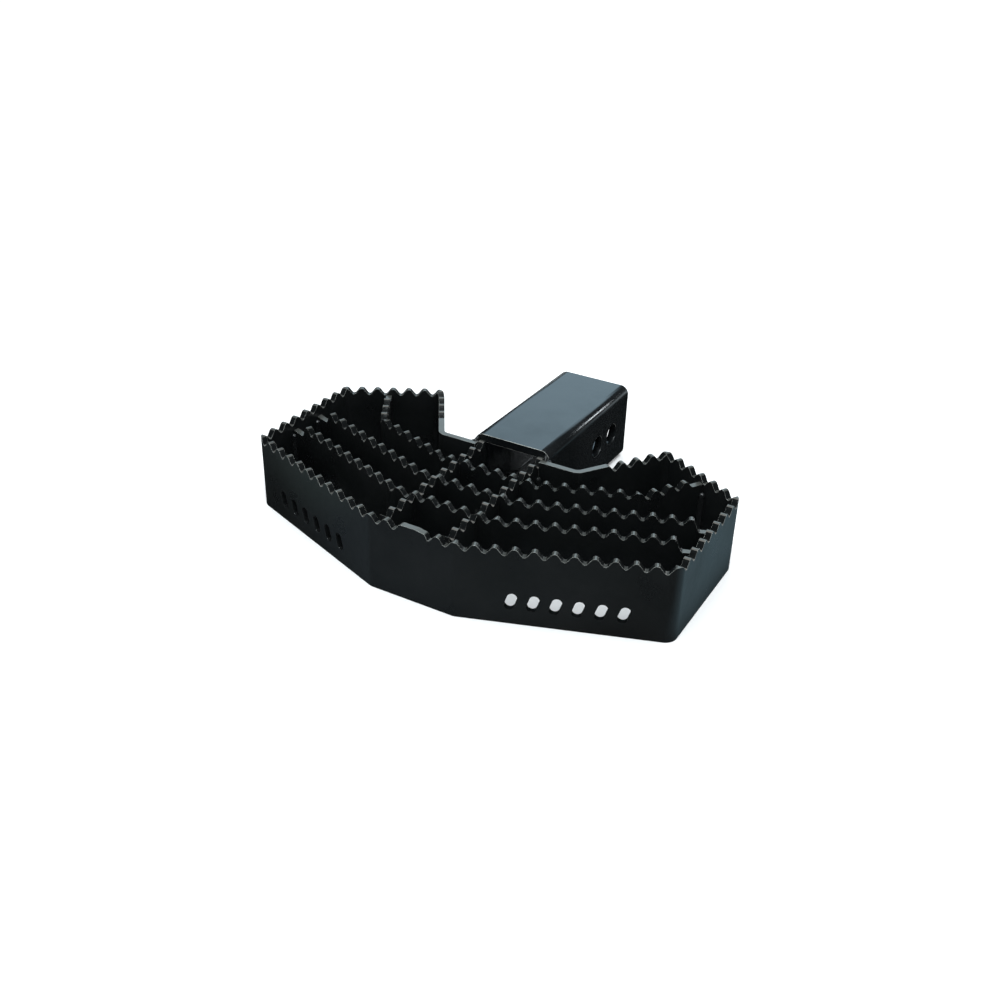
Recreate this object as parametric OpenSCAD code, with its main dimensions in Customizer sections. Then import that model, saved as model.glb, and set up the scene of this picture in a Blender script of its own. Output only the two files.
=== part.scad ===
// Hitch receiver step: a bent outer band, three bent slats and two lengthwise bars, all of flat bar
// with toothed top edges, welded to a square tube that slides into a vehicle's receiver.
// +X is to the right, +Y runs forward along the tube, +Z is up. The origin is below the middle of
// the whole step, at the height of the plates' bottom edges.

/* [Receiver tube] */
// Outside width and height of the square tube
tube_w = 63.5; // [62:0.5:66]
// Wall thickness of the tube
tube_wall = 6.35; // [4.5:0.05:8]
// Outside corner radius of the tube
tube_corner = 7; // [5:0.5:10]
// Length of the tube
tube_len = 140.25; // [120:0.25:260]
// Diameter of the two pin holes
pin_d = 17.5; // [12:0.1:20]
// Distance from the tube's open end to the nearer pin hole
pin_end = 28.5; // [20:0.5:50]
// Distance between the two pin holes
pin_gap = 26.5; // [22:0.5:40]

/* [Flat bar] */
// Thickness of the flat bar
plate_t = 4.5; // [3.5:0.1:5.5]
// Height of the flat bar, up to the tooth crests
plate_h = 58; // [50:0.5:60]
// Inside radius of the bends
bend_r = 5; // [4:0.5:7]

/* [Teeth] */
// Distance from one tooth crest to the next
pitch = 13.15; // [12:0.05:14.5]
// Depth of the teeth
tooth_depth = 5.3; // [4:0.1:7]
// Flat land left on each crest
crest_land = 1.2; // [0.8:0.1:2]
// Number of valleys on each inner panel, counted from the return panel
inner_valleys = 4; // [2:1:4]

/* [Outer band] */
// Distance from each bar's outer face out to the front panel's bend
front_margin = 6.05; // [5.5:0.05:12]
// Angle by which the wings sweep back
sweep = 20; // [15:0.5:24]
// Half width of the step, to the middle of the side panels
half_width = 169.6; // [155:0.1:185]
// Length of the side panels
side_len = 105.5; // [98:0.1:118]
// Angle between the return panels and the front panel
return_angle = 29.3; // [26:0.1:34]
// Angle between the inner panels and the front panel
inner_angle = 57.5; // [55:0.5:62]
// Distance from the front panel back to the rear panels
rear_y = 127.75; // [125:0.25:134]
// Distance from the tube's side out to the bend between rear and inner panels
notch_margin = 26.65; // [22:0.05:30]
// How far the front panel's middle crest slopes down at its right end
shoulder_drop = 1.2; // [0.5:0.1:2]

/* [Cut-outs] */
// Number of slots through each wing
slot_count = 6; // [4:1:7]
// Width of a slot
slot_w = 7; // [5:0.5:8]
// Height of a slot
slot_h = 13; // [10:0.5:18]
// Distance from one slot to the next
slot_gap = 15; // [12:0.5:17]
// Height of the slots' middle above the bottom edge
slot_z = 17.5; // [14:0.5:26]
// Lean of the slots
slot_lean = 18; // [0:1:25]
// Distance from the front panel's bend to the first slot's middle
slot_start = 38; // [30:1:45]

/* [Slats] */
// Distance from the front panel back to the front slat
slat_y = 40; // [37:0.5:43]
// Distance from one slat to the next
slat_gap = 29.5; // [27:0.5:31]
// How much farther out than the front panel the slats bend
slat_margin = 5.5; // [3:0.5:9]
// Distance from the middle out to the rear slat's second bend
knee_x = 111; // [106:0.5:116]
// Angle of the rear slat beyond its second bend
knee_angle = 60; // [56:0.5:64]
// How far the end tabs of the front and middle slats lie below the crests
tab_drop = 9.5; // [6:0.5:12]
// Shortest distance from a slat's last crest to the panel that it ends on
tab_min = 14; // [10:0.5:18]

/* [Bars] */
// Distance from the tube's side face in to the middle of each bar
bar_inset = 6.55; // [5:0.05:8]
// Distance from the front panel to the bars' first whole crest
bar_phase = 14; // [12:0.5:15]
// Clearance on each side of the slots where slats and bars cross
lap_gap = 0.15; // [0.05:0.05:0.3]

/* [Welds] */
// Gap between the rear panels and the tube's end, filled by the weld
root_gap = 3.5; // [1:0.25:5]
// Leg of the weld beads at the ends of the plates
weld_leg = 3.2; // [2.6:0.1:4]
// Leg of the tack welds where slats and bars cross
tack_leg = 2.8; // [2:0.1:3.2]
// Height of the weld beads
weld_h = 46; // [36:1:48]

/* [Hidden] */
SIDES = [[-1, "left"], [1, "right"]];
SLATS = ["front", "middle", "rear"];
coat = [0.11, 0.12, 0.13];
tube_coat = [0.26, 0.30, 0.34];
weld_coat = [0.16, 0.17, 0.18];
bend_mid = bend_r + plate_t / 2;
bend_steps = 9;
tooth_steps = 10;
cut = 1;
reach = plate_t / 2 + 5;
inner_r = max(tube_corner - tube_wall, 0.8);
rear_face = rear_y + plate_t / 2;
tube_near = rear_face + root_gap;
tube_far = tube_near + tube_len;
mid_y = (tube_far - plate_t / 2) / 2;
bar_x = tube_w / 2 - bar_inset;
bar_out = bar_x + plate_t / 2;
front_half = bar_out + front_margin;
slat_half = front_half + slat_margin;
notch_x = tube_w / 2 + notch_margin;
crown = root_gap + 1;
pin_ys = [tube_far - pin_end - pin_gap, tube_far - pin_end];
slat_phases = [1.9, 2.7, 7.3];
bead_steps = 6;
mouth_leg = min(weld_leg, bar_inset - tube_wall + plate_t / 2);

// Corners of the right half of the outer band's middle line, from the front bend to the tube
corner_1 = [front_half, 0];
corner_2 = [half_width, (half_width - front_half) * tan(sweep)];
corner_3 = corner_2 + [0, side_len];
corner_5 = [notch_x, rear_y];
inner_dir = along(inner_angle);
return_dir = along(180 - return_angle);
corner_4 = corner_5 + inner_dir * cross(corner_3 - corner_5, return_dir) / cross(inner_dir, return_dir);
corner_6 = [bar_out, rear_y];
band_right = [corner_1, corner_2, corner_3, corner_4, corner_5, corner_6];
band_path = concat([for (i = [5:-1:0]) [-band_right[i].x, band_right[i].y]], band_right);

function heading(a, b) = atan2(b.y - a.y, b.x - a.x);
function wrap(a) = a > 180 ? a - 360 : (a < -180 ? a + 360 : a);
function along(a) = [cos(a), sin(a)];
function across(a) = [-sin(a), cos(a)];
function turn(path, i) = wrap(heading(path[i], path[i + 1]) - heading(path[i - 1], path[i]));
function lead(path, i) = bend_mid * tan(abs(turn(path, i)) / 2);
function half_arc(path, i) = bend_mid * abs(turn(path, i)) * PI / 360;

// Points round one bend of a strip, on the side that lies `off` to the left of its middle line
function bend_points(path, i, off) =
    let (a = heading(path[i - 1], path[i]), da = turn(path, i), s = sign(da))
    let (centre = path[i] - lead(path, i) * along(a) + s * bend_mid * across(a))
    [for (k = [0:bend_steps]) centre - s * (bend_mid - s * off) * across(a + da * k / bend_steps)];

function side_points(path, off) =
    let (n = len(path) - 1)
    concat(
        [path[0] + off * across(heading(path[0], path[1]))],
        [for (i = [1:1:n - 1], p = bend_points(path, i, off)) p],
        [path[n] + off * across(heading(path[n - 1], path[n]))]
    );

function reversed(list) = [for (i = [len(list) - 1:-1:0]) list[i]];

// Place and heading at a distance along the middle line, measured from the point at index i
function walk(path, s, i = 0) =
    let (d = norm(path[i + 1] - path[i]), a = heading(path[i], path[i + 1]))
    (s <= d || i == len(path) - 2) ? [path[i] + s * along(a), a] : walk(path, s - d, i + 1);

function valley_z(u, w, depth) = plate_h - depth * (1 + cos(180 * u / w)) / 2;

// Half of a valley's outline, out to where its flank has passed the plate's top edge
function flank_points(w, depth) =
    let (flank = [for (k = [0:tooth_steps / 2]) let (u = 2 * w * k / tooth_steps) [u, valley_z(u, w, depth)]])
    let (n = len(flank) - 1, top = flank[n] + (flank[n] - flank[n - 1]) / 4)
    concat([for (k = [0:n - 1]) flank[k]], [top, [top.x, plate_h + cut]]);

function valley_points(w, depth) =
    let (right = flank_points(w, depth), n = len(right) - 1)
    concat([for (k = [n:-1:1]) [-right[k].x, right[k].y]], right);

// Everything is drawn with the front panel's middle at Y = 0 and moved back to the origin here
module placed() {
    translate([0, -mid_y, 0])
        children();
}

module on_side(side) {
    mirror([side < 0 ? 1 : 0, 0, 0])
        children();
}

module strip(path) {
    linear_extrude(plate_h)
        polygon(concat(side_points(path, plate_t / 2), reversed(side_points(path, -plate_t / 2))));
}

// A prism square to a plate, drawn along the plate and upwards
module through_plate(at, a) {
    translate([at.x, at.y, 0])
        rotate([0, 0, a])
            rotate([90, 0, 0])
                linear_extrude(2 * reach, center = true)
                    children();
}

module valley(at, a, spacing = pitch) {
    through_plate(at, a)
        polygon(valley_points((spacing - crest_land) / 2, tooth_depth));
}

// Valleys of one panel of the band, spaced evenly between the crests on its two bends
module panel_valleys(i, count, spacing) {
    a = heading(band_right[i], band_right[i + 1]);
    start = lead(concat([[0, 0]], band_right), i + 1) - half_arc(concat([[0, 0]], band_right), i + 1);
    for (k = [0:1:count - 1])
        valley(band_right[i] + (start + (k + 0.5) * spacing) * along(a), a, spacing);
}

function panel_length(i) =
    let (path = concat([[0, 0]], band_right))
    norm(band_right[i + 1] - band_right[i]) - lead(path, i + 1) - lead(path, i + 2)
        + half_arc(path, i + 1) + half_arc(path, i + 2);

module band_valleys() {
    for (i = [0:2]) {
        count = round(panel_length(i) / pitch);
        panel_valleys(i, count, panel_length(i) / count);
    }
    panel_valleys(3, inner_valleys, pitch);
    valley([front_half - pitch / 2, 0], 0);
}

// The right end of the smooth middle crest slopes down before the valley beside it
module shoulder_valley() {
    w = (pitch - crest_land) / 2;
    through_plate([front_half - 1.5 * pitch, 0], 0)
        polygon(concat(
            [[-1.6 * w, plate_h + cut], [-1.6 * w, plate_h]],
            [for (k = [0:5]) let (u = w * (k / 5 - 1) / 2)
                [u, plate_h - shoulder_drop - (tooth_depth - shoulder_drop) * (1 + cos(360 * u / w)) / 2]],
            [for (k = [1:5]) [w * k / 5, valley_z(w * k / 5, w, tooth_depth)]],
            [[w, plate_h + cut]]
        ));
}

module wing_slots() {
    a = heading(corner_1, corner_2);
    for (k = [0:slot_count - 1]) {
        p = corner_1 + (slot_start + k * slot_gap) * along(a);
        translate([p.x, p.y, slot_z])
            rotate([0, 0, a])
                rotate([90, slot_lean, 0]) {
                    for (z = [-1, 1])
                        translate([0, z * (slot_h - slot_w) / 2, 0])
                            cylinder(d = slot_w, h = plate_t + 2 * cut, center = true, $fn = 48);
                    cube([slot_w, slot_h - slot_w, plate_t + 2 * cut], center = true);
                }
    }
}

module outer_band() {
    color(coat)
        placed()
            difference() {
                strip(band_path);
                for (side = SIDES)
                    on_side(side[0]) {
                        band_valleys();
                        wing_slots();
                    }
                shoulder_valley();
                valley([1.5 * pitch - front_half, 0], 0);
            }
}

// Right half of a slat's middle line, carried a little past the panel that it ends on
function slat_line(n) =
    let (bend = [slat_half, slat_y + n * slat_gap])
    let (knee = [knee_x, bend.y + (knee_x - slat_half) * tan(sweep)])
    n < 2
        ? [bend, bend + (half_width - slat_half) / cos(sweep) * along(sweep)]
        : [bend, knee, knee + (to_return(knee) + plate_t) * along(knee_angle)];

// From a point on the rear slat's last leg to the inner face of the return panel
function to_return(p) =
    let (out = [sin(return_angle), cos(return_angle)])
    ((corner_3 - p) * out - plate_t / 2) / (along(knee_angle) * out);

// Developed length of half a slat, up to the panel that it ends on
function slat_reach(n) =
    let (line = slat_line(n))
    n < 2
        ? slat_half + (half_width - plate_t / 2 - slat_half) / cos(sweep)
        : slat_half + norm(line[1] - line[0]) + to_return(line[1]);

module slat_valley(n, s) {
    line = concat([[0, slat_y + n * slat_gap]], slat_line(n));
    spot = walk(line, abs(s));
    on_side(s)
        valley(spot[0], spot[1]);
}

// From the last crest the edge falls to a low flat tab that is welded to the panel
module slat_tab(n, side, crest, drop) {
    line = concat([[0, slat_y + n * slat_gap]], slat_line(n));
    spot = walk(line, abs(crest));
    w = (pitch - crest_land) / 2;
    from = crest_land / 2;
    on_side(side)
        through_plate(spot[0], spot[1])
            polygon(concat(
                [[from, plate_h + cut]],
                [for (k = [0:5]) [from + w * k / 5, plate_h - drop * (1 - cos(36 * k)) / 2]],
                [[tab_min + 3 * pitch, plate_h - drop], [tab_min + 3 * pitch, plate_h + cut]]
            ));
}

// Everything beyond the inner face of the side or return panel that starts at a corner
module beyond_panel(corner, a) {
    translate([corner.x, corner.y, -cut])
        rotate([0, 0, a])
            translate([-plate_t / 2, -bend_mid, 0])
                cube([3 * plate_t, side_len, plate_h + 2 * cut]);
}

module slat(n) {
    line = slat_line(n);
    phase = slat_phases[n];
    drop = n < 2 ? tab_drop : tooth_depth;
    last = floor((slat_reach(n) - tab_min - phase) / pitch);
    first = -floor((slat_reach(n) - tab_min + phase) / pitch);
    color(coat)
        placed()
            difference() {
                strip(concat([for (i = [len(line) - 1:-1:0]) [-line[i].x, line[i].y]], line));
                for (k = [first:last - 1])
                    slat_valley(n, phase + (k + 0.5) * pitch);
                slat_tab(n, -1, phase + first * pitch, drop);
                slat_tab(n, 1, phase + last * pitch, drop);
                for (side = SIDES)
                    on_side(side[0]) {
                        beyond_panel(n < 2 ? corner_2 : corner_3, n < 2 ? 0 : 90 - return_angle);
                        translate([bar_x, slat_y + n * slat_gap, plate_h / 4 - cut / 2])
                            cube([plate_t + 2 * lap_gap, 2 * plate_t, plate_h / 2 + cut], center = true);
                    }
            }
}

module bar(side) {
    start = plate_t / 2;
    color(coat)
        placed()
            difference() {
                translate([side * bar_x - plate_t / 2, start, 0])
                    cube([plate_t, tube_near - start, plate_h]);
                for (k = [-1:floor((tube_near - bar_phase) / pitch - 0.5)])
                    valley([side * bar_x, bar_phase + (k + 0.5) * pitch], 90);
                for (n = [0:2])
                    translate([side * bar_x, slat_y + n * slat_gap, plate_h * 3 / 4 + cut / 2])
                        cube([2 * plate_t, plate_t + 2 * lap_gap, plate_h / 2 + cut], center = true);
            }
}

module rounded_bar(w, r, y0, y1) {
    translate([0, y1, tube_w / 2])
        rotate([90, 0, 0])
            linear_extrude(y1 - y0) {
                square([w, w - 2 * r], center = true);
                square([w - 2 * r, w], center = true);
                for (x = [-1, 1], z = [-1, 1])
                    translate([x, z] * (w / 2 - r))
                        circle(r, $fn = 48);
            }
}

module receiver_tube() {
    color(tube_coat)
        placed()
            difference() {
                rounded_bar(tube_w, tube_corner, tube_near, tube_far);
                rounded_bar(tube_w - 2 * tube_wall, inner_r, tube_near - cut, tube_far + cut);
                for (y = pin_ys)
                    translate([0, y, tube_w / 2])
                        rotate([0, 90, 0])
                            cylinder(d = pin_d, h = tube_w + 2 * cut, center = true, $fn = 64);
            }
}

function bead_arc(a0, a1, leg) = [for (k = [0:bead_steps]) leg * along(a0 + (a1 - a0) * k / bead_steps)];

// A weld bead in the corner between two plates: a wedge of a circle from heading a0 to a1
module bead(at, a0, a1, leg, z0, z1) {
    translate([at.x, at.y, z0])
        linear_extrude(z1 - z0)
            polygon(concat([[0, 0]], bead_arc(a0, a1, leg)));
}

// Fills the gap between rear panel and tube, and climbs from the panel's top edge up the tube's end
module weld_tube(side) {
    wall = tube_w / 2;
    stretch = 1 + root_gap / weld_leg;
    outside = [for (p = bead_arc(0, 90, weld_leg)) [wall + p.x, rear_face + stretch * p.y]];
    color(weld_coat)
        placed()
            on_side(side)
                union() {
                    difference() {
                        linear_extrude(plate_h)
                            polygon(concat([[bar_out, tube_near], [bar_out, rear_face]], outside));
                        rounded_bar(tube_w, tube_corner, tube_near, tube_far);
                    }
                    intersection() {
                        translate([bar_out, tube_near, plate_h])
                            rotate([90, 0, 90])
                                linear_extrude(wall - bar_out)
                                    polygon(concat([[0, 0]], bead_arc(90, 180, crown)));
                        rounded_bar(tube_w, tube_corner, tube_near - 2 * crown, tube_near);
                    }
                }
}

// Inside the tube's mouth, between its wall and the bar's end
module weld_bar_tube(side) {
    color(weld_coat)
        placed()
            on_side(side)
                bead([tube_w / 2 - tube_wall, tube_near], 90, 180, mouth_leg, tube_wall + 1, weld_h);
}

module weld_bar_band(side) {
    color(weld_coat)
        placed()
            on_side(side)
                bead([bar_out, rear_y - plate_t / 2], -90, 0, weld_leg, 0, weld_h);
}

module weld_bar_front(side) {
    color(weld_coat)
        placed()
            on_side(side)
                bead([bar_out, plate_t / 2], 0, 90, weld_leg, 0, weld_h);
}

// The front corner between a slat's end and the panel that it meets
module weld_slat(n, side) {
    line = slat_line(n);
    face_x = half_width - plate_t / 2;
    leg = line[1] - plate_t / 2 * across(knee_angle);
    edge = n < 2
        ? [face_x, line[0].y + (face_x - slat_half) * tan(sweep) - plate_t / 2 / cos(sweep)]
        : leg + to_return(leg) * along(knee_angle);
    angles = n < 2 ? [180 + sweep, 270] : [knee_angle - 180, -return_angle];
    color(weld_coat)
        placed()
            on_side(side)
                bead(edge, angles[0], angles[1], weld_leg, 0, weld_h);
}

module tack(n, side) {
    color(weld_coat)
        placed()
            on_side(side)
                bead([bar_out, slat_y + n * slat_gap - plate_t / 2], -90, 0, tack_leg, 0, plate_h / 2);
}

outer_band();
for (n = [0:2]) {
    slat(n);
    for (side = SIDES) {
        weld_slat(n, side[0]);
        tack(n, side[0]);
    }
}
for (side = SIDES) {
    bar(side[0]);
    weld_tube(side[0]);
    weld_bar_tube(side[0]);
    weld_bar_band(side[0]);
    weld_bar_front(side[0]);
}
receiver_tube();
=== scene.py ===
# Hitch receiver step: black coated, toothed flat bar welded to a square tube.
# Everything is in metres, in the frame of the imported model: +X right, +Y along the tube, +Z up.
import math
import bpy
from mathutils import Matrix, Vector, noise


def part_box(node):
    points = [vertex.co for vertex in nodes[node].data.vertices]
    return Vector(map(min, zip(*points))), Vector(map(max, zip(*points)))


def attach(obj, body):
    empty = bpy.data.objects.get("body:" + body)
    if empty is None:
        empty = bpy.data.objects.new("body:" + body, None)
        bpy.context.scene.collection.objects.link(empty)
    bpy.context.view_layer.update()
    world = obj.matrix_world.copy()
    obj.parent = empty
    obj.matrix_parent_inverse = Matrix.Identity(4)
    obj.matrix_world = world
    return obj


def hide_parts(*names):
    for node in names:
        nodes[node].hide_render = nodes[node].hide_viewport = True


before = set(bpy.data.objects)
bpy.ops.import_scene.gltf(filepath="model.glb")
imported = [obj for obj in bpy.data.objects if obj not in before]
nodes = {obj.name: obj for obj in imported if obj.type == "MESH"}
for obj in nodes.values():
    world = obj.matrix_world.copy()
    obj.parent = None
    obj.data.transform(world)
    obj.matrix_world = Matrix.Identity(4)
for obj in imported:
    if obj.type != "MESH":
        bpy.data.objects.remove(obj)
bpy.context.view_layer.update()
scene = bpy.context.scene
MM = 0.001


# Camera
# The photograph was taken from the right front corner, well above the step, with a normal lens.

azimuth = math.radians(29.217)
elevation = math.radians(29.929)
roll = math.radians(1.705)
lens_place = Vector((0.36749, -0.67485, 0.45467))
camera_data = bpy.data.cameras.new("photo_camera")
camera_data.sensor_width = 36.0
camera_data.lens = 41.46
camera_data.clip_start = 0.05
camera_data.clip_end = 50.0
camera = bpy.data.objects.new("photo_camera", camera_data)
scene.collection.objects.link(camera)
ahead = Vector((
    -math.sin(azimuth) * math.cos(elevation),
    math.cos(azimuth) * math.cos(elevation),
    -math.sin(elevation),
))
level_right = Vector((math.cos(azimuth), math.sin(azimuth), 0.0))
level_up = level_right.cross(ahead)
right = level_right * math.cos(roll) + level_up * math.sin(roll)
up = level_up * math.cos(roll) - level_right * math.sin(roll)
camera.matrix_world = Matrix((
    (right.x, up.x, -ahead.x, lens_place.x),
    (right.y, up.y, -ahead.y, lens_place.y),
    (right.z, up.z, -ahead.z, lens_place.z),
    (0.0, 0.0, 0.0, 1.0),
))
scene.camera = camera


# Coat texture
# The powder coat has a fine orange peel, shallow waves and cloudy differences in gloss.
# The group gives a cloud mask, a roughness and a normal to every coated part.

coat = bpy.data.node_groups.new("coat_texture", "ShaderNodeTree")
for name, usual in (("Peel", 0.12), ("Gloss", 0.36), ("Waves", 0.08)):
    socket = coat.interface.new_socket(name, in_out="INPUT", socket_type="NodeSocketFloat")
    socket.default_value = usual
coat.interface.new_socket("Cloud", in_out="OUTPUT", socket_type="NodeSocketFloat")
coat.interface.new_socket("Roughness", in_out="OUTPUT", socket_type="NodeSocketFloat")
coat.interface.new_socket("Normal", in_out="OUTPUT", socket_type="NodeSocketVector")
coat_in = coat.nodes.new("NodeGroupInput")
coat_out = coat.nodes.new("NodeGroupOutput")
place = coat.nodes.new("ShaderNodeTexCoord")
clouds = coat.nodes.new("ShaderNodeTexNoise")
clouds.inputs["Scale"].default_value = 22.0
clouds.inputs["Detail"].default_value = 5.0
clouds.inputs["Roughness"].default_value = 0.6
coat.links.new(place.outputs["Object"], clouds.inputs["Vector"])
grain = coat.nodes.new("ShaderNodeTexNoise")
grain.inputs["Scale"].default_value = 900.0
grain.inputs["Detail"].default_value = 2.0
coat.links.new(place.outputs["Object"], grain.inputs["Vector"])
waves = coat.nodes.new("ShaderNodeTexNoise")
waves.inputs["Scale"].default_value = 90.0
waves.inputs["Detail"].default_value = 2.0
coat.links.new(place.outputs["Object"], waves.inputs["Vector"])
gloss_range = coat.nodes.new("ShaderNodeMapRange")
gloss_range.inputs["From Min"].default_value = 0.3
gloss_range.inputs["From Max"].default_value = 0.7
gloss_range.inputs["To Min"].default_value = -0.05
gloss_range.inputs["To Max"].default_value = 0.07
coat.links.new(clouds.outputs["Fac"], gloss_range.inputs["Value"])
gloss = coat.nodes.new("ShaderNodeMath")
gloss.operation = "ADD"
coat.links.new(gloss_range.outputs["Result"], gloss.inputs[0])
coat.links.new(coat_in.outputs["Gloss"], gloss.inputs[1])
grain_bump = coat.nodes.new("ShaderNodeBump")
grain_bump.inputs["Distance"].default_value = 0.0004
coat.links.new(coat_in.outputs["Peel"], grain_bump.inputs["Strength"])
coat.links.new(grain.outputs["Fac"], grain_bump.inputs["Height"])
wave_bump = coat.nodes.new("ShaderNodeBump")
wave_bump.inputs["Distance"].default_value = 0.002
coat.links.new(coat_in.outputs["Waves"], wave_bump.inputs["Strength"])
coat.links.new(waves.outputs["Fac"], wave_bump.inputs["Height"])
coat.links.new(grain_bump.outputs["Normal"], wave_bump.inputs["Normal"])
coat.links.new(clouds.outputs["Fac"], coat_out.inputs["Cloud"])
coat.links.new(gloss.outputs["Value"], coat_out.inputs["Roughness"])
coat.links.new(wave_bump.outputs["Normal"], coat_out.inputs["Normal"])


def coated(name, peel, gloss, waves):
    """A coated material, its node tree, its shader and the coat texture in it."""
    paint = bpy.data.materials.new(name)
    paint.use_nodes = True
    tree = paint.node_tree
    shader = tree.nodes["Principled BSDF"]
    shader.inputs["IOR"].default_value = 1.5
    texture = tree.nodes.new("ShaderNodeGroup")
    texture.node_tree = coat
    texture.inputs["Peel"].default_value = peel
    texture.inputs["Gloss"].default_value = gloss
    texture.inputs["Waves"].default_value = waves
    tree.links.new(texture.outputs["Roughness"], shader.inputs["Roughness"])
    return paint, tree, shader, texture


# Plates
# Flat bar, cut along its toothed edge and folded. The cut edges carry a thinner, greyer coat,
# which is thinnest on the slightly rounded arrises. Where the toothed edge faces up, at its
# crests and valleys, it is made grey with a strong, warm specular: partly that coat, partly a
# painted highlight. The up-tilted tooth flanks get a weak specular, a painted shade.

plate_coat, tree, shader, texture = coated("plate_coat", 0.08, 0.30, 0.08)
colour = tree.nodes.new("ShaderNodeValToRGB")
colour.color_ramp.elements[0].position = 0.3
colour.color_ramp.elements[0].color = (0.0035, 0.0042, 0.0044, 1.0)
colour.color_ramp.elements[1].position = 0.7
colour.color_ramp.elements[1].color = (0.0065, 0.0076, 0.0080, 1.0)
tree.links.new(texture.outputs["Cloud"], colour.inputs["Fac"])
geometry = tree.nodes.new("ShaderNodeNewGeometry")
facing = tree.nodes.new("ShaderNodeSeparateXYZ")
tree.links.new(geometry.outputs["True Normal"], facing.inputs["Vector"])
spot = tree.nodes.new("ShaderNodeSeparateXYZ")
tree.links.new(geometry.outputs["Position"], spot.inputs["Vector"])
# Grey and a strong, warm specular on upward faces high on the parts, the crests and valleys of the
# toothed edge: partly the cut edge's thinner coat, partly a painted highlight.
high = tree.nodes.new("ShaderNodeMapRange")
high.inputs["From Min"].default_value = 0.044
high.inputs["From Max"].default_value = 0.046
tree.links.new(spot.outputs["Z"], high.inputs["Value"])
upward = tree.nodes.new("ShaderNodeMapRange")
upward.inputs["From Min"].default_value = 0.74
upward.inputs["From Max"].default_value = 0.97
tree.links.new(facing.outputs["Z"], upward.inputs["Value"])
cut_coat_and_highlight = tree.nodes.new("ShaderNodeMath")
cut_coat_and_highlight.operation = "MULTIPLY"
tree.links.new(high.outputs["Result"], cut_coat_and_highlight.inputs[0])
tree.links.new(upward.outputs["Result"], cut_coat_and_highlight.inputs[1])
edge_grey_and_highlight = tree.nodes.new("ShaderNodeMix")
edge_grey_and_highlight.data_type = "RGBA"
edge_grey_and_highlight.inputs["B"].default_value = (0.048, 0.052, 0.049, 1.0)
tree.links.new(cut_coat_and_highlight.outputs["Value"], edge_grey_and_highlight.inputs["Factor"])
tree.links.new(colour.outputs["Color"], edge_grey_and_highlight.inputs["A"])
tree.links.new(edge_grey_and_highlight.outputs["Result"], shader.inputs["Base Color"])
# Faces tilted upward, the tooth flanks, get a weak specular so they look darker: painted shade.
# Near-vertical faces keep a middling one.
flank_painted_shade = tree.nodes.new("ShaderNodeMapRange")
flank_painted_shade.inputs["From Min"].default_value = 0.2
flank_painted_shade.inputs["From Max"].default_value = 0.4
flank_painted_shade.inputs["To Min"].default_value = 0.5
flank_painted_shade.inputs["To Max"].default_value = 0.08
tree.links.new(facing.outputs["Z"], flank_painted_shade.inputs["Value"])
# Specular level: strong on the upward crest faces, a painted highlight, and weak on the up-tilted
# flanks, a painted shade.
spec_with_painted_light = tree.nodes.new("ShaderNodeMapRange")
spec_with_painted_light.inputs["To Max"].default_value = 0.95
tree.links.new(flank_painted_shade.outputs["Result"], spec_with_painted_light.inputs["To Min"])
tree.links.new(cut_coat_and_highlight.outputs["Value"], spec_with_painted_light.inputs["Value"])
tree.links.new(spec_with_painted_light.outputs["Result"], shader.inputs["Specular IOR Level"])
# The warm specular tint on the same upward faces is part of that painted highlight.
crest_highlight_tint = tree.nodes.new("ShaderNodeMix")
crest_highlight_tint.data_type = "RGBA"
crest_highlight_tint.inputs["A"].default_value = (1.0, 1.0, 1.0, 1.0)
crest_highlight_tint.inputs["B"].default_value = (1.0, 0.84, 0.72, 1.0)
tree.links.new(cut_coat_and_highlight.outputs["Value"], crest_highlight_tint.inputs["Factor"])
tree.links.new(crest_highlight_tint.outputs["Result"], shader.inputs["Specular Tint"])
tree.links.new(texture.outputs["Normal"], shader.inputs["Normal"])

arris_coat, tree, shader, texture = coated("arris_coat", 0.10, 0.26, 0.08)
spot = tree.nodes.new("ShaderNodeNewGeometry")
axes = tree.nodes.new("ShaderNodeSeparateXYZ")
tree.links.new(spot.outputs["Position"], axes.inputs["Vector"])
# Arrises high on the parts turn light grey in patches: partly wear of the thin coat, partly a
# painted highlight where the top arrises catch the light.
high = tree.nodes.new("ShaderNodeMapRange")
high.inputs["From Min"].default_value = 0.034
high.inputs["From Max"].default_value = 0.044
tree.links.new(axes.outputs["Z"], high.inputs["Value"])
rubbed = tree.nodes.new("ShaderNodeTexNoise")
rubbed.inputs["Scale"].default_value = 260.0
rubbed.inputs["Detail"].default_value = 3.0
tree.links.new(spot.outputs["Position"], rubbed.inputs["Vector"])
patchy = tree.nodes.new("ShaderNodeMapRange")
patchy.inputs["From Min"].default_value = 0.35
patchy.inputs["From Max"].default_value = 0.60
patchy.inputs["To Min"].default_value = 0.35
tree.links.new(rubbed.outputs["Fac"], patchy.inputs["Value"])
wear_and_highlight = tree.nodes.new("ShaderNodeMath")
wear_and_highlight.operation = "MULTIPLY"
tree.links.new(high.outputs["Result"], wear_and_highlight.inputs[0])
tree.links.new(patchy.outputs["Result"], wear_and_highlight.inputs[1])
arris_mix = tree.nodes.new("ShaderNodeMix")
arris_mix.data_type = "RGBA"
arris_mix.inputs["A"].default_value = (0.005, 0.006, 0.006, 1.0)
arris_mix.inputs["B"].default_value = (0.38, 0.40, 0.38, 1.0)
tree.links.new(wear_and_highlight.outputs["Value"], arris_mix.inputs["Factor"])
tree.links.new(arris_mix.outputs["Result"], shader.inputs["Base Color"])
shader.inputs["Specular IOR Level"].default_value = 0.9
tree.links.new(texture.outputs["Normal"], shader.inputs["Normal"])


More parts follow.
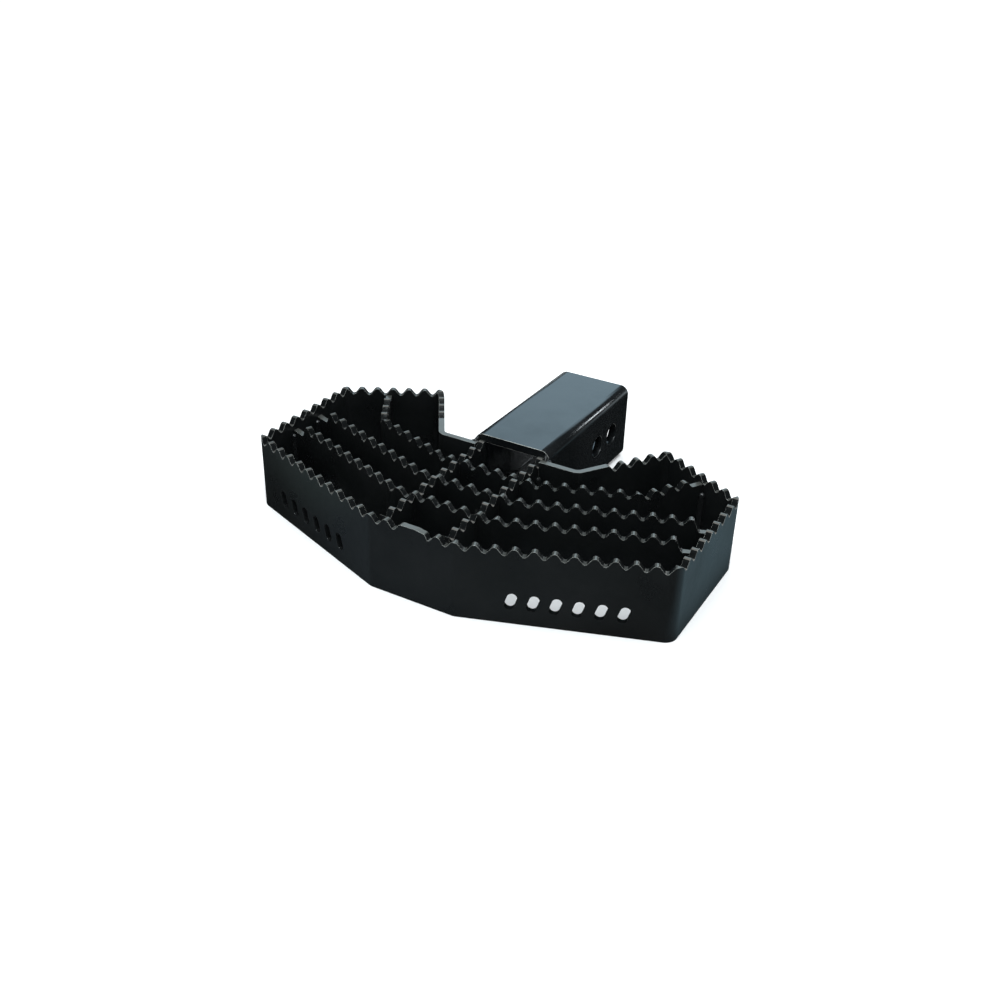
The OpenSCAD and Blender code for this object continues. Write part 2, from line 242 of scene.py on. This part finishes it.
def finish_edges(part, paint, width):
    """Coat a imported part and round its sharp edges; the rounding gets the arris coat."""
    part.data.materials.clear()
    part.data.materials.append(paint)
    part.data.materials.append(arris_coat)
    joined = part.modifiers.new("joined", "WELD")
    joined.merge_threshold = 0.001 * MM
    whole_faces = part.modifiers.new("whole_faces", "DECIMATE")
    whole_faces.decimate_type = "DISSOLVE"
    whole_faces.angle_limit = math.radians(0.5)
    rounding = part.modifiers.new("arris", "BEVEL")
    rounding.width = width
    rounding.segments = 2
    rounding.material = 1
    rounding.limit_method = "ANGLE"
    rounding.angle_limit = math.radians(50)


for name in ("outer_band", "slat_front", "slat_middle", "slat_rear", "bar_left", "bar_right"):
    finish_edges(nodes[name], plate_coat, 0.8 * MM)


# Receiver tube
# Welded square tube with a smoother, glossier coat than the cut plates. Faint draw lines run
# along it and bend the reflections on its rounded edges.

tube_coat, tree, shader, texture = coated("tube_coat", 0.0, 0.20, 0.02)
colour = tree.nodes.new("ShaderNodeValToRGB")
colour.color_ramp.elements[0].position = 0.3
colour.color_ramp.elements[0].color = (0.0035, 0.0045, 0.0050, 1.0)
colour.color_ramp.elements[1].position = 0.7
colour.color_ramp.elements[1].color = (0.0065, 0.0078, 0.0086, 1.0)
tree.links.new(texture.outputs["Cloud"], colour.inputs["Fac"])
tree.links.new(colour.outputs["Color"], shader.inputs["Base Color"])
sheen = tree.nodes.new("ShaderNodeMapRange")
sheen.inputs["From Min"].default_value = 0.3
sheen.inputs["From Max"].default_value = 0.7
sheen.inputs["To Min"].default_value = 0.36
sheen.inputs["To Max"].default_value = 0.64
tree.links.new(texture.outputs["Cloud"], sheen.inputs["Value"])
tree.links.new(sheen.outputs["Result"], shader.inputs["Specular IOR Level"])
along_tube = tree.nodes.new("ShaderNodeTexCoord")
drawn = tree.nodes.new("ShaderNodeMapping")
drawn.inputs["Scale"].default_value = (1.0, 0.12, 1.0)
tree.links.new(along_tube.outputs["Object"], drawn.inputs["Vector"])
draw_lines = tree.nodes.new("ShaderNodeTexNoise")
draw_lines.inputs["Scale"].default_value = 90.0
draw_lines.inputs["Detail"].default_value = 2.0
tree.links.new(drawn.outputs["Vector"], draw_lines.inputs["Vector"])
draw_bump = tree.nodes.new("ShaderNodeBump")
draw_bump.inputs["Strength"].default_value = 0.03
draw_bump.inputs["Distance"].default_value = 0.001
tree.links.new(draw_lines.outputs["Fac"], draw_bump.inputs["Height"])
tree.links.new(texture.outputs["Normal"], draw_bump.inputs["Normal"])
tree.links.new(draw_bump.outputs["Normal"], shader.inputs["Normal"])

finish_edges(nodes["receiver_tube"], tube_coat, 0.7 * MM)


# Weld coat
# The coat over the welds is thin enough to show the ripples.

weld_coat, tree, shader, texture = coated("weld_coat", 0.25, 0.26, 0.08)
colour = tree.nodes.new("ShaderNodeValToRGB")
colour.color_ramp.elements[0].position = 0.3
colour.color_ramp.elements[0].color = (0.0040, 0.0046, 0.0050, 1.0)
colour.color_ramp.elements[1].position = 0.7
colour.color_ramp.elements[1].color = (0.0090, 0.0100, 0.0104, 1.0)
tree.links.new(texture.outputs["Cloud"], colour.inputs["Fac"])
tree.links.new(colour.outputs["Color"], shader.inputs["Base Color"])
tree.links.new(texture.outputs["Normal"], shader.inputs["Normal"])

ripple = 1.7 * MM
ring_gap = 0.34 * MM


def bead_surface(t, travel, seed):
    """Share of the full leg at t across the bead and a distance along it, with the ripples."""
    bow = 0.55 * ripple * math.sin(math.pi * t)
    wobble = 0.35 * ripple * noise.noise(Vector((travel / (6 * MM), seed, 0.0)))
    crest = abs(math.sin(math.pi * (travel - bow + wobble) / ripple)) ** 0.6
    flat = 1.0 - 0.16 * math.sin(math.pi * t)
    return flat * (0.90 + 0.10 * crest)


def bead_object(name, parts, node):
    """One object from lofts: each is a list of rings, and each ring starts at the corner."""
    points = []
    faces = []
    for rings in parts:
        start = len(points)
        count = len(rings[0])
        for ring in rings:
            points.extend(ring)
        for k in range(len(rings) - 1):
            low = start + k * count
            for j in range(count):
                nxt = (j + 1) % count
                faces.append((low + j, low + nxt, low + count + nxt, low + count + j))
        faces.append(tuple(start + j for j in reversed(range(count))))
        faces.append(tuple(start + (len(rings) - 1) * count + j for j in range(count)))
    mesh = bpy.data.meshes.new(name)
    mesh.from_pydata(points, [], faces)
    mesh.update()
    for face in mesh.polygons:
        face.use_smooth = True
    mesh.materials.append(weld_coat)
    obj = bpy.data.objects.new(name, mesh)
    scene.collection.objects.link(obj)
    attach(obj, "root")
    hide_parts(node)


# Corner beads
# Short beads laid upward in the corners between plates, and tacks under the slotted crossings.
# Headings are those of the two faces that each bead joins, on the right half of the step.

bead_headings = {
    "weld_bar_front": (0.0, 90.0),
    "weld_bar_band": (-90.0, 0.0),
    "weld_bar_tube": (90.0, 180.0),
    "weld_slat_front": (200.0, 270.0),
    "weld_slat_middle": (200.0, 270.0),
    "weld_slat_rear": (-120.0, -29.3),
    "tack_slat_front": (-90.0, 0.0),
    "tack_slat_middle": (-90.0, 0.0),
    "tack_slat_rear": (-90.0, 0.0),
}
across_steps = 8
thin_end = 0.12

for seed, (kind, headings) in enumerate(bead_headings.items()):
    first, last = (math.radians(a) for a in headings)
    for side, hand in ((-1.0, "left"), (1.0, "right")):
        node = kind + "_" + hand
        low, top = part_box(node)
        leg = top.y - low.y
        inner_x = min(side * low.x, side * top.x)
        corner_x = inner_x + leg * max(0.0, -math.cos(first), -math.cos(last))
        corner_y = low.y if math.sin(first) + math.sin(last) > 0.0 else top.y
        rings = []
        count = round((top.z - low.z) / ring_gap)
        for k in range(count + 1):
            z = low.z + (top.z - low.z) * k / count
            end = min(z - low.z, top.z - z)
            close = math.sqrt(max(0.0, 1.0 - max(0.0, 1.0 - end / (0.8 * leg)) ** 2))
            ring = [Vector((side * corner_x, corner_y, z))]
            for j in range(across_steps + 1):
                t = j / across_steps
                a = first + (last - first) * t
                r = leg * max(thin_end, close) * bead_surface(t, z, 3.0 * seed + side)
                x = corner_x + r * math.cos(a)
                ring.append(Vector((side * x, corner_y + r * math.sin(a), z)))
            rings.append(ring if side > 0 else ring[::-1])
        bead_object(node + "_bead", [rings], node)


# Tube beads
# Each fills the gap between rear panel and tube, runs up the tube's side and turns over the
# panel's top edge to climb the tube's end, inside its rounded corner.

root_gap = 3.5 * MM
tube_corner = 7.0 * MM
tube_low, tube_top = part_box("receiver_tube")
plate_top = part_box("outer_band")[1].z
wall = tube_top.x
tube_end = tube_low.y

for side, hand in ((-1.0, "left"), (1.0, "right")):
    node = "weld_tube_" + hand
    low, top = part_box(node)
    inner_x = min(side * low.x, side * top.x)
    leg = max(side * low.x, side * top.x) - wall
    crown = top.z - plate_top
    back = tube_end - root_gap
    fill = [
        [Vector((side * x, y, z)) for x, y in (
            (inner_x, back), (wall, back), (wall, tube_end), (inner_x, tube_end))]
        for z in (low.z, plate_top)
    ]
    riser = []
    count = round((plate_top - low.z) / ring_gap)
    for k in range(count + 1):
        z = low.z + (plate_top - low.z) * k / count
        end = min(z - low.z, plate_top - z)
        close = math.sqrt(max(0.0, 1.0 - max(0.0, 1.0 - end / (0.7 * leg)) ** 2))
        ring = [Vector((side * wall, back, z))]
        for j in range(across_steps + 1):
            t = j / across_steps
            r = max(thin_end, close) * bead_surface(t, z, 40.0 + side)
            ring.append(Vector((
                side * (wall + r * leg * math.cos(math.pi / 2 * t)),
                back + r * (leg + root_gap) * math.sin(math.pi / 2 * t),
                z,
            )))
        riser.append(ring)
    cap = []
    count = round((wall - inner_x) / ring_gap)
    for k in range(count + 1):
        x = inner_x + (wall - inner_x) * k / count
        bend = max(0.0, x - (wall - tube_corner))
        outline = tube_top.z - tube_corner + math.sqrt(max(0.0, tube_corner ** 2 - bend ** 2))
        rise = max(0.1 * MM, min(crown, outline - plate_top))
        close = math.sqrt(max(0.0, 1.0 - max(0.0, 1.0 - (x - inner_x) / crown) ** 2))
        ring = [Vector((side * x, tube_end, plate_top))]
        for j in range(across_steps + 1):
            t = j / across_steps
            r = max(thin_end, close) * bead_surface(t, x, 50.0 + side)
            ring.append(Vector((
                side * x,
                tube_end - r * crown * math.sin(math.pi / 2 * t),
                plate_top + r * rise * math.cos(math.pi / 2 * t),
            )))
        cap.append(ring)
    parts = [fill, riser, cap]
    if side < 0:
        parts = [[ring[::-1] for ring in rings] for rings in parts]
    bead_object(node + "_bead", parts, node)


# Floor
# White paper sweep, lit and glowing faintly to pure white far off. Reflections see it instead
# as a glowing sheet of painted light and shade: dark and grey stretches close to the step, a
# cooler painted reflection on the right and a pale painted strip far behind the tube.

bpy.ops.mesh.primitive_plane_add(size=12.0, location=(0.0, 0.0, -0.2 * MM))
floor = bpy.context.object
floor.name = "studio_floor"
floor_paint = bpy.data.materials.new("floor_paint")
floor_paint.use_nodes = True
tree = floor_paint.node_tree
shader = tree.nodes["Principled BSDF"]
shader.inputs["Base Color"].default_value = (0.92, 0.92, 0.92, 1.0)
shader.inputs["Roughness"].default_value = 0.9
shader.inputs["Specular IOR Level"].default_value = 0.0
paper_out = tree.nodes["Material Output"]
where = tree.nodes.new("ShaderNodeNewGeometry")
spread = tree.nodes.new("ShaderNodeVectorMath")
spread.operation = "LENGTH"
tree.links.new(where.outputs["Position"], spread.inputs["Vector"])
away = tree.nodes.new("ShaderNodeMapRange")
away.interpolation_type = "SMOOTHSTEP"
away.inputs["From Min"].default_value = 0.30
away.inputs["From Max"].default_value = 0.75
tree.links.new(spread.outputs["Value"], away.inputs["Value"])
whiter = tree.nodes.new("ShaderNodeMapRange")
whiter.interpolation_type = "SMOOTHSTEP"
whiter.inputs["From Min"].default_value = 0.6
whiter.inputs["From Max"].default_value = 1.6
whiter.inputs["To Max"].default_value = 0.14
tree.links.new(spread.outputs["Value"], whiter.inputs["Value"])
tree.links.new(whiter.outputs["Result"], shader.inputs["Emission Strength"])
shader.inputs["Emission Color"].default_value = (1.0, 1.0, 1.0, 1.0)
axes = tree.nodes.new("ShaderNodeSeparateXYZ")
tree.links.new(where.outputs["Position"], axes.inputs["Vector"])
on_right = tree.nodes.new("ShaderNodeMapRange")
on_right.interpolation_type = "SMOOTHSTEP"
on_right.inputs["From Min"].default_value = 0.160
on_right.inputs["From Max"].default_value = 0.190
tree.links.new(axes.outputs["X"], on_right.inputs["Value"])
beside = tree.nodes.new("ShaderNodeMapRange")
beside.interpolation_type = "SMOOTHSTEP"
beside.inputs["From Min"].default_value = -0.13
beside.inputs["From Max"].default_value = -0.07
tree.links.new(axes.outputs["Y"], beside.inputs["Value"])
right_patch = tree.nodes.new("ShaderNodeMath")
right_patch.operation = "MULTIPLY"
tree.links.new(on_right.outputs["Result"], right_patch.inputs[0])
tree.links.new(beside.outputs["Result"], right_patch.inputs[1])
leftward = tree.nodes.new("ShaderNodeMapRange")
leftward.inputs["From Min"].default_value = -0.3
leftward.inputs["From Max"].default_value = 0.3
tree.links.new(axes.outputs["X"], leftward.inputs["Value"])
front_tone = tree.nodes.new("ShaderNodeValToRGB")
front_tone.color_ramp.elements[0].position = 0.12
front_tone.color_ramp.elements[0].color = (0.23, 0.33, 0.32, 1.0)
front_tone.color_ramp.elements[1].position = 0.30
front_tone.color_ramp.elements[1].color = (0.095, 0.125, 0.150, 1.0)
for position, tone in ((0.70, (0.090, 0.115, 0.130, 1.0)), (0.83, (0.045, 0.058, 0.064, 1.0))):
    stop = front_tone.color_ramp.elements.new(position)
    stop.color = tone
tree.links.new(leftward.outputs["Result"], front_tone.inputs["Fac"])
behind = tree.nodes.new("ShaderNodeMapRange")
behind.interpolation_type = "SMOOTHSTEP"
behind.inputs["From Min"].default_value = -0.15
behind.inputs["From Max"].default_value = -0.10
tree.links.new(axes.outputs["Y"], behind.inputs["Value"])
# Dark close to and under the step, seen only in reflections: painted shade.
near_painted_shade = tree.nodes.new("ShaderNodeMix")
near_painted_shade.data_type = "RGBA"
near_painted_shade.inputs["B"].default_value = (0.015, 0.017, 0.018, 1.0)
tree.links.new(behind.outputs["Result"], near_painted_shade.inputs["Factor"])
tree.links.new(front_tone.outputs["Color"], near_painted_shade.inputs["A"])
# A cool bright patch to the right of the step, seen only in reflections: painted reflection.
right_tone = tree.nodes.new("ShaderNodeMix")
right_tone.data_type = "RGBA"
right_tone.inputs["B"].default_value = (0.195, 0.300, 0.350, 1.0)
tree.links.new(right_patch.outputs["Value"], right_tone.inputs["Factor"])
tree.links.new(near_painted_shade.outputs["Result"], right_tone.inputs["A"])
slanted = tree.nodes.new("ShaderNodeVectorMath")
slanted.operation = "DOT_PRODUCT"
slanted.inputs[1].default_value = (-1.3, 1.0, 0.0)
tree.links.new(where.outputs["Position"], slanted.inputs[0])
past_tube = tree.nodes.new("ShaderNodeMapRange")
past_tube.interpolation_type = "SMOOTHSTEP"
past_tube.inputs["From Min"].default_value = 0.02
past_tube.inputs["From Max"].default_value = 0.14
tree.links.new(slanted.outputs["Value"], past_tube.inputs["Value"])
# Grey near the tube and pale far behind it, seen only in reflections: painted reflection.
horizon = tree.nodes.new("ShaderNodeMix")
horizon.data_type = "RGBA"
horizon.inputs["A"].default_value = (0.14, 0.15, 0.14, 1.0)
horizon.inputs["B"].default_value = (0.75, 0.86, 0.92, 1.0)
tree.links.new(past_tube.outputs["Result"], horizon.inputs["Factor"])
far_tone = tree.nodes.new("ShaderNodeMix")
far_tone.data_type = "RGBA"
tree.links.new(horizon.outputs["Result"], far_tone.inputs["B"])
tree.links.new(away.outputs["Result"], far_tone.inputs["Factor"])
tree.links.new(right_tone.outputs["Result"], far_tone.inputs["A"])
# For reflections the floor is this glowing pattern instead of lit paper: painted light and shade.
painted_reflection_glow = tree.nodes.new("ShaderNodeEmission")
tree.links.new(far_tone.outputs["Result"], painted_reflection_glow.inputs["Color"])
path = tree.nodes.new("ShaderNodeLightPath")
paper = tree.nodes.new("ShaderNodeMixShader")
tree.links.new(path.outputs["Is Glossy Ray"], paper.inputs["Fac"])
tree.links.new(shader.outputs["BSDF"], paper.inputs[1])
tree.links.new(painted_reflection_glow.outputs["Emission"], paper.inputs[2])
tree.links.new(paper.outputs["Shader"], paper_out.inputs["Surface"])
floor.data.materials.append(floor_paint)


# Backdrop
# Plain white to the camera and as light. Reflections see a dark room with one large, cool
# softbox behind the step, to the left.

world = bpy.data.worlds.new("studio")
scene.world = world
world.use_nodes = True
tree = world.node_tree
tree.nodes.clear()
world_out = tree.nodes.new("ShaderNodeOutputWorld")
white = tree.nodes.new("ShaderNodeBackground")
white.inputs["Color"].default_value = (1.0, 1.0, 1.0, 1.0)
white.inputs["Strength"].default_value = 1.0
direction = tree.nodes.new("ShaderNodeTexCoord")
toward = tree.nodes.new("ShaderNodeVectorMath")
toward.operation = "DOT_PRODUCT"
toward.inputs[1].default_value = Vector((-0.34, 0.80, 0.50)).normalized()
tree.links.new(direction.outputs["Generated"], toward.inputs[0])
softbox = tree.nodes.new("ShaderNodeMapRange")
softbox.interpolation_type = "SMOOTHSTEP"
softbox.inputs["From Min"].default_value = math.cos(math.radians(20))
softbox.inputs["From Max"].default_value = math.cos(math.radians(11))
tree.links.new(toward.outputs["Value"], softbox.inputs["Value"])
room_tone = tree.nodes.new("ShaderNodeMix")
room_tone.data_type = "RGBA"
room_tone.inputs["A"].default_value = (0.04, 0.045, 0.05, 1.0)
room_tone.inputs["B"].default_value = (1.15, 1.62, 1.92, 1.0)
tree.links.new(softbox.outputs["Result"], room_tone.inputs["Factor"])
room = tree.nodes.new("ShaderNodeBackground")
tree.links.new(room_tone.outputs["Result"], room.inputs["Color"])
path = tree.nodes.new("ShaderNodeLightPath")
chosen = tree.nodes.new("ShaderNodeMixShader")
tree.links.new(path.outputs["Is Glossy Ray"], chosen.inputs["Fac"])
tree.links.new(white.outputs["Background"], chosen.inputs[1])
tree.links.new(room.outputs["Background"], chosen.inputs[2])
tree.links.new(chosen.outputs["Shader"], world_out.inputs["Surface"])


# Lamps
# A large softbox overhead, a narrow strip behind the tube that draws the thin bright line along
# its right top edge, and a small key lamp beside the camera that makes the arrises sparkle.

for name, place, aim, along, width, length, power in (
    ("top_softbox", (-0.2, -0.1, 1.6), (0.0, 0.0, 0.0), (0.0, 1.0, 0.0), 1.6, 1.2, 14.0),
    ("edge_strip", (0.301, 0.600, 0.245), (0.031, 0.22, 0.060), (0.0, 1.0, 0.0), 0.06, 0.16, 0.50),
    ("key_lamp", (0.32, -0.48, 1.05), (0.0, 0.0, 0.0), (1.0, 0.0, 0.0), 0.30, 0.30, 5.0),
):
    lamp_data = bpy.data.lights.new(name, "AREA")
    lamp_data.shape = "RECTANGLE"
    lamp_data.size = width
    lamp_data.size_y = length
    lamp_data.energy = power
    lamp_data.color = (0.88, 0.96, 1.0)
    lamp = bpy.data.objects.new(name, lamp_data)
    scene.collection.objects.link(lamp)
    facing_back = (Vector(place) - Vector(aim)).normalized()
    sideways = Vector(along).cross(facing_back).normalized()
    lengthways = facing_back.cross(sideways)
    lamp.matrix_world = Matrix((
        (sideways.x, lengthways.x, facing_back.x, place[0]),
        (sideways.y, lengthways.y, facing_back.y, place[1]),
        (sideways.z, lengthways.z, facing_back.z, place[2]),
        (0.0, 0.0, 0.0, 1.0),
    ))

scene.view_settings.view_transform = "Standard"
